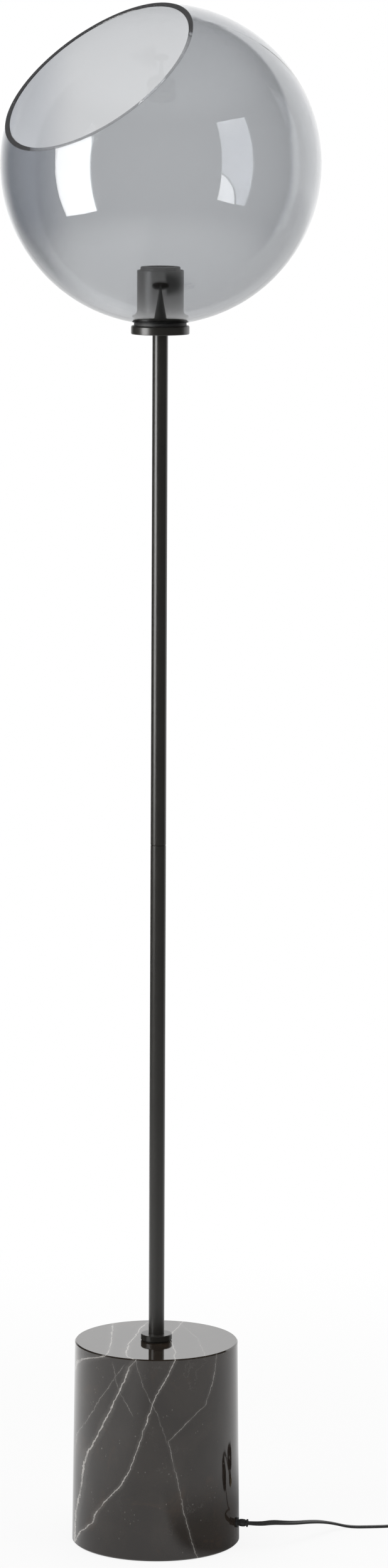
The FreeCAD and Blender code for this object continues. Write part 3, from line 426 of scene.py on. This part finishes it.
nodeFinish = {
    "marble_base": "marble", "glass_globe": "smoked_glass", "floor_pad": "felt",
    "lower_gasket": "silicone", "upper_gasket": "silicone", "collar_gasket": "black_phenolic",
    "base_collar": "black_metal", "lower_stem": "black_metal", "upper_stem": "black_metal",
    "globe_flange": "black_metal", "socket_cup": "black_spun",
    "retaining_plate": "zinc_steel", "lock_washer": "zinc_steel", "base_nut": "zinc_steel",
    "tie_tube": "zinc_steel", "stem_coupler": "zinc_steel", "flange_nipple": "zinc_steel",
    "lower_stem_foot_insert": "zinc_steel", "lower_stem_head_insert": "zinc_steel",
    "upper_stem_foot_insert": "zinc_steel", "upper_stem_head_insert": "zinc_steel",
    "cup_washer": "zinc_steel", "cup_nut": "zinc_steel", "terminal_screws": "zinc_steel",
    "switch_spring": "zinc_steel", "switch_screws": "zinc_steel",
    "holder_cap": "black_phenolic", "holder_skirt": "black_phenolic", "holder_insert": "porcelain",
    "screw_shell": "brass", "centre_contact": "brass", "terminal_plates": "brass", "switch_contacts": "brass",
    "plug_blades": "brass", "conductors": "copper",
    "strain_relief": "black_moulding", "cord_tie": "black_moulding", "plug_body": "black_moulding",
    "switch_lower_case": "black_moulding", "switch_upper_case": "black_moulding",
    "switch_button": "black_moulding",
    "inner_cord": "cord_sheath", "lamp_cord": "cord_sheath", "loop_cord": "cord_sheath",
    "cord_coil": "cord_sheath", "plug_cord": "cord_sheath",
}
for name, obj in cad.items():
    obj.data.materials.clear()
    obj.data.materials.append(finishes[nodeFinish[name]])
print("finishes on", len(cad), "pieces")


# Geometry Nodes trees are built here, with named inputs
class Tree:
    def __init__(self, name, inputs):
        self.group = bpy.data.node_groups.new(name, "GeometryNodeTree")
        self.group.interface.new_socket("Geometry", in_out="INPUT", socket_type="NodeSocketGeometry")
        for label, kind in inputs:
            self.group.interface.new_socket(label, in_out="INPUT", socket_type="NodeSocket" + kind)
        self.group.interface.new_socket("Geometry", in_out="OUTPUT", socket_type="NodeSocketGeometry")
        self.start = self.group.nodes.new("NodeGroupInput")
        self.end = self.group.nodes.new("NodeGroupOutput")

    def given(self, label):
        return self.start.outputs[label]

    def node(self, kind, sockets, take=0):
        made = self.group.nodes.new(kind)
        for key, value in sockets.items():
            if isinstance(value, bpy.types.NodeSocket):
                self.group.links.new(value, made.inputs[key])
            else:
                made.inputs[key].default_value = value
        return made.outputs[take]

    def finishWith(self, geometry, material):
        real = self.node("GeometryNodeRealizeInstances", {0: geometry})
        painted = self.node("GeometryNodeSetMaterial", {"Geometry": real, "Material": material})
        self.group.links.new(painted, self.end.inputs[0])
        return self


def grown(name, tree, values, source):
    # Runs a tree on a source object and keeps the result as a plain mesh
    made = source.modifiers.new(name, "NODES")
    made.node_group = tree.group
    for item in tree.group.interface.items_tree:
        if item.item_type == "SOCKET" and item.in_out == "INPUT" and item.name in values:
            made[item.identifier] = values[item.name]
    source.data.update_tag()
    bpy.context.view_layer.update()
    seen = source.evaluated_get(bpy.context.evaluated_depsgraph_get())
    mesh = bpy.data.meshes.new_from_object(seen)
    source.modifiers.clear()
    return placed(name, mesh)


# Flat twin cord. Routes are in mm, tilts in degrees at each of their points. Each core's outline is drawn
# over coreArc degrees to both sides, in coreSteps steps
cordLook = {"width": 5.4 * mm, "thick": 2.3 * mm, "coreArc": 112, "coreSteps": 14, "smooth": 8}
flat = 1.2  # height of the cord's middle where it lies flat
onEdge = 2.75  # and where it stands on its edge
lampRoute = [(94.70, -25.38, 23.5), (106.78, -28.61, 23.5), (120, -28.2, 25.2), (133, -21.5, 22.8),
             (146, -9, 19.4), (158, 5, 16.4), (171, 20, 12.4), (185, 33, 7.0), (202, 39.5, flat),
             (226, 41, flat), (247, 43.5, flat), (265, 44.8, 4.4), (280, 45, 7), (294, 45, 7)]
lampTilts = [16, 32, 48, 34, 24, 18, 15, 3, 0, 0, 0, 0, 0, 0]
loopRoute = [(364, 45, 7), (379, 45, 7), (395, 45.8, 4.4), (410, 50, onEdge), (423, 60, onEdge),
             (430.5, 75, onEdge), (430.2, 92, onEdge), (421.5, 106, onEdge), (406, 115, onEdge),
             (389, 117.5, 3.0), (373, 117, 3.7), (360.4, 117, 3.7)]
loopTilts = [0, 10, 45, 80, 90, 90, 90, 90, 90, 90, 90, 90]
plugRoute = [(349.6, 117, 9.7), (338.5, 117, 9.7), (327.5, 114.9, 8.7), (316.5, 112, 7), (305, 112, 7)]
plugTilts = [90, 84, 50, 12, 0]
coilPlan = {"x": 355, "y": 158, "inner": 23, "turns": 3, "pitch": 6.0, "low": 3.7, "perTurn": 20, "lead": 5.4,
            "start": -90, "tilt": 90}


def coilRoute():
    # Clockwise: in along the floor, up a layer, and out again
    plan = coilPlan
    last = 2 * plan["turns"]
    side = plan["y"] - plan["inner"] - plan["turns"] * plan["pitch"]
    points = [(plan["x"] + plan["lead"], side, plan["low"])]
    for i in range(last * plan["perTurn"] + 1):
        turn = i / plan["perTurn"]
        r = plan["inner"] + plan["pitch"] * abs(turn - plan["turns"])
        climb = min(max(2 * (turn - plan["turns"]) + 0.5, 0), 1)
        z = plan["low"] + plan["pitch"] * (1 - math.cos(math.pi * climb)) / 2
        a = math.radians(plan["start"]) - 2 * math.pi * turn
        points.append((plan["x"] + r * math.cos(a), plan["y"] + r * math.sin(a), z))
    points.append((plan["x"] - plan["lead"], side, plan["low"] + plan["pitch"]))
    return points


def cordLine(name, route, tilts):
    # The cord's own line: a smooth spline that the route's points pull on
    curve = bpy.data.curves.new(name, "CURVE")
    curve.dimensions = "3D"
    curve.twist_mode = "Z_UP"
    curve.resolution_u = cordLook["smooth"]
    spline = curve.splines.new("NURBS")
    spline.points.add(len(route) - 1)
    for point, place, tilt in zip(spline.points, route, tilts):
        point.co = (*(Vector(place) * mm), 1)
        point.tilt = math.radians(tilt)
    spline.order_u = 3
    spline.use_endpoint_u = True
    return placed(name, curve)


def pathOf(line):
    mesh = bpy.data.meshes.new_from_object(line.evaluated_get(bpy.context.evaluated_depsgraph_get()))
    points = [v.co.copy() for v in mesh.vertices]
    bpy.data.meshes.remove(mesh)
    return points


def twinSection():
    # Outline of the cord: two round cores side by side with a shallow groove between them
    look = cordLook
    r = look["thick"] / 2
    off = look["width"] / 2 - r
    points = []
    for side in (1, -1):
        for i in range(look["coreSteps"] + 1):
            a = math.radians(-look["coreArc"] + 2 * look["coreArc"] * i / look["coreSteps"])
            points.append((side * (off + r * math.cos(a)), side * r * math.sin(a), 0))
    outline = bpy.data.curves.new("cordSection", "CURVE")
    outline.dimensions = "3D"
    spline = outline.splines.new("POLY")
    spline.points.add(len(points) - 1)
    for point, place in zip(spline.points, points):
        point.co = (*place, 1)
    spline.use_cyclic_u = True
    return placed("cordSection", outline)


def cordTree():
    tree = Tree("twinCord", [("Section", "Object"), ("Sheath", "Material")])
    section = tree.node("GeometryNodeObjectInfo", {"Object": tree.given("Section")}, "Geometry")
    tube = tree.node("GeometryNodeCurveToMesh",
                     {"Curve": tree.given("Geometry"), "Profile Curve": section, "Fill Caps": True})
    smooth = tree.node("GeometryNodeSetShadeSmooth", {0: tube})
    return tree.finishWith(smooth, tree.given("Sheath"))


section = twinSection()
cordGrower = cordTree()


def twinCord(name, route, node, tilts):
    line = cordLine(name + "Line", route, tilts)
    bpy.context.view_layer.update()
    path = pathOf(line)
    obj = grown(name, cordGrower, {"Section": section, "Sheath": finishes["cord_sheath"]}, line)
    bpy.data.objects.remove(line)
    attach(obj, "lamp")
    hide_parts(node)
    [c * mm for c in route[0]]


coilPoints = coilRoute()
twinCord("lampCord", lampRoute, "lamp_cord", lampTilts)
twinCord("loopCord", loopRoute, "loop_cord", loopTilts)
twinCord("coilCord", coilPoints, "cord_coil", [coilPlan["tilt"]] * len(coilPoints))
twinCord("plugCord", plugRoute, "plug_cord", plugTilts)
bpy.data.objects.remove(section)
print("cords laid")


# The switch's spring shortens between its seat and the button; a copy of it stands in its place
mesh = cad["switch_spring"].data.copy()
mesh.transform(cad["switch_spring"].matrix_world)
spring = placed("switchSpring", mesh)
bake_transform(spring)
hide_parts("switch_spring")
print("spring set")


# Floor, room and lamps. Mirrored in the lamp, the room is white behind it and dark in front, and the floor
# has a painted pool of light at its left and a painted shadow at the right of its foot. Distances are metres
roomLook = {"whiteNear": 0.9, "whiteFar": 2.6, "fill": 0.5, "front": 0.07, "behind": 1.35, "leftEdge": 0.70,
            "rightEdge": 0.26, "leftSoft": 0.30, "rightSoft": 0.12, "turn": 0.3, "backdropTop": 1.5}
# The floor's lift at the left and drop at the right paint a pool of light and a shadow near the lamp's foot
floorLook = {"side": 40, "colour": (0.92, 0.92, 0.92), "shadowKept": 0.12, "shadowNear": 0.5,
             "shadowFar": 1.3, "paintedLightLift": 0.45, "leftFrom": 0.1, "leftTo": 0.45, "paintedShadowDepth": 0.8,
             "rightFrom": 0.04, "rightTo": 0.09, "paintedShadowFull": 0.17, "paintedShadowEnd": 0.42,
             "dim": 0.7, "dimFrom": 4, "dimTo": 10}


def mirrored(made, x, y, z=0.0):
    # Brightness of the room in a level direction x, y, where the white backdrop narrows upwards
    look = roomLook
    right = made.step(x, -look["turn"], look["turn"])
    edge = look["leftEdge"] + right * (look["rightEdge"] - look["leftEdge"])
    soft = look["leftSoft"] + right * (look["rightSoft"] - look["leftSoft"])
    return made.step((y - edge - z * z * look["backdropTop"]) / soft, 0.0, 1.0, look["front"], look["behind"])


def paths(made):
    # Straight: seen by the camera, also through glass. Mirror: mirrored at least once on its way
    rays = made.node("ShaderNodeLightPath").socket.node
    camera, glossy, through, bounces = [Wire(made, rays.outputs[name]) for name in (
        "Is Camera Ray", "Is Glossy Ray", "Is Transmission Ray", "Glossy Depth")]
    bounced = bounces.lowest(1)
    return camera.highest(through) * (1 - bounced), glossy.highest(through) * bounced


def paleFloor():
    look = floorLook
    made = Finish("pale_floor")
    x, y, z = made.parts(made.place())
    away = (x * x + y * y) ** 0.5
    kept = made.step(away, look["shadowNear"], look["shadowFar"], look["shadowKept"], 0.0)
    straight, mirror = paths(made)
    far = made.step(away, roomLook["whiteNear"], roomLook["whiteFar"])
    # Painted light at the floor's left and a painted shadow right of the lamp's foot, shown only in mirror rays
    left = made.step(-1 * x, look["leftFrom"], look["leftTo"])
    right = made.step(x, look["rightFrom"], look["rightTo"])
    paintedShadow = look["paintedShadowDepth"] * right * made.step(away, look["paintedShadowEnd"], look["paintedShadowFull"])
    nearPaintedLightAndShadow = 1 + look["paintedLightLift"] * left - paintedShadow
    dim = look["dim"] + (1 - look["dim"]) * made.step(away, look["dimFrom"], look["dimTo"])
    room = nearPaintedLightAndShadow * (1 - far) + far * mirrored(made, x / away, y / away) * dim
    lit = made.node("ShaderNodeBsdfDiffuse", None, {"Color": (*look["colour"], 1)})
    both = made.mixed((straight + mirror) * (1 - kept), lit, made.glow(straight + mirror * room))
    return made.ended(made.mixed(made.backOnly(), both, made.node("ShaderNodeBsdfTransparent")))


mesh = bpy.data.meshes.new("floor")
side = floorLook["side"]
mesh.from_pydata([(-side, -side, 0), (side, -side, 0), (side, side, 0), (-side, side, 0)], [], [(0, 1, 2, 3)])
mesh.materials.append(paleFloor())
placed("floor", mesh)


def studioWorld():
    made = Finish("studio", "worlds", "ShaderNodeOutputWorld")
    x, y, z = made.parts(made.node("ShaderNodeTexCoord", None, None, "Generated"))
    level = (x * x + y * y) ** 0.5
    straight, mirror = paths(made)
    room = mirrored(made, x / level, y / level, z.highest(0))
    strength = roomLook["fill"] * (1 - straight - mirror) + straight + mirror * room
    return made.ended(made.node("ShaderNodeBackground", None, {"Color": (1, 1, 1, 1), "Strength": strength}))


bpy.context.scene.world = studioWorld()

# A softbox that is only mirrored in the lamp, and lamps that only light it
softbox = {"place": (-1.354, -0.696, 1.388), "wide": 0.76, "high": 1.625, "radiance": 10.5}


def softboxCloth():
    made = Finish("softbox_cloth")
    straight, mirror = paths(made)
    shown = mirror * (1 - made.backOnly())
    made.material.cycles.emission_sampling = "NONE"
    clear = made.node("ShaderNodeBsdfTransparent")
    return made.ended(made.mixed(shown, clear, made.glow(softbox["radiance"])))


def panel(name, plan, material):
    # A rectangle that faces the lamp's stem
    centre = Vector(plan["place"])
    across = Vector((0, 0, 1)).cross(-Vector((centre.x, centre.y, 0))).normalized() * plan["wide"] / 2
    up = Vector((0, 0, plan["high"] / 2))
    corners = [centre - across - up, centre + across - up, centre + across + up, centre - across + up]
    mesh = bpy.data.meshes.new(name)
    mesh.from_pydata(corners, [], [(0, 1, 2, 3)])
    mesh.materials.append(material)
    placed(name, mesh)


panel("softbox", softbox, softboxCloth())

# Each lamp points at a height on the stem's axis
lamps = [
    {"name": "leftLight", "place": (-1.6, -1.1, 1.4), "aim": 1.4, "wide": 1.2, "high": 1.6, "radiance": 2.2},
    {"name": "rightLight", "place": (2.1, -1.2, 1.4), "aim": 1.4, "wide": 1.2, "high": 1.4, "radiance": 1.2},
    {"name": "topLight", "place": (0.0, 0.3, 3.2), "aim": 0.0, "wide": 2.4, "high": 2.4, "radiance": 1.6},
]
for plan in lamps:
    data = bpy.data.lights.new(plan["name"], "AREA")
    data.shape = "RECTANGLE"
    data.size, data.size_y = plan["wide"], plan["high"]
    data.energy = plan["radiance"] * math.pi * plan["wide"] * plan["high"]
    lamp = placed(plan["name"], data)
    lamp.location = plan["place"]
    aim = Vector((0, 0, plan["aim"])) - Vector(plan["place"])
    lamp.rotation_euler = aim.to_track_quat("-Z", "Y").to_euler()
    lamp.visible_camera = lamp.visible_transmission = lamp.visible_glossy = False

# The photograph's camera: place in metres, pitch and roll in degrees, lens and sensor in mm
view = {"place": (0, -5.496, 1.58), "pitch": 2.564, "roll": 0.221, "lens": 123.35, "sensor": 36,
        "shiftX": 0.0213, "shiftY": -0.34, "far": 200}
data = bpy.data.cameras.new("camera")
data.sensor_fit = "VERTICAL"
data.sensor_height = data.sensor_width = view["sensor"]
data.lens = view["lens"]
data.shift_x, data.shift_y = view["shiftX"], view["shiftY"]
data.clip_end = view["far"]
camera = placed("camera", data)
pitched = Matrix.Rotation(math.radians(90 - view["pitch"]), 4, "X")
rolled = Matrix.Rotation(math.radians(view["roll"]), 4, "Z")
camera.matrix_world = Matrix.Translation(view["place"]) @ pitched @ rolled
bpy.context.scene.camera = camera
bpy.context.scene.view_settings.view_transform = "Standard"
print("studio ready")

bpy.context.view_layer.update()
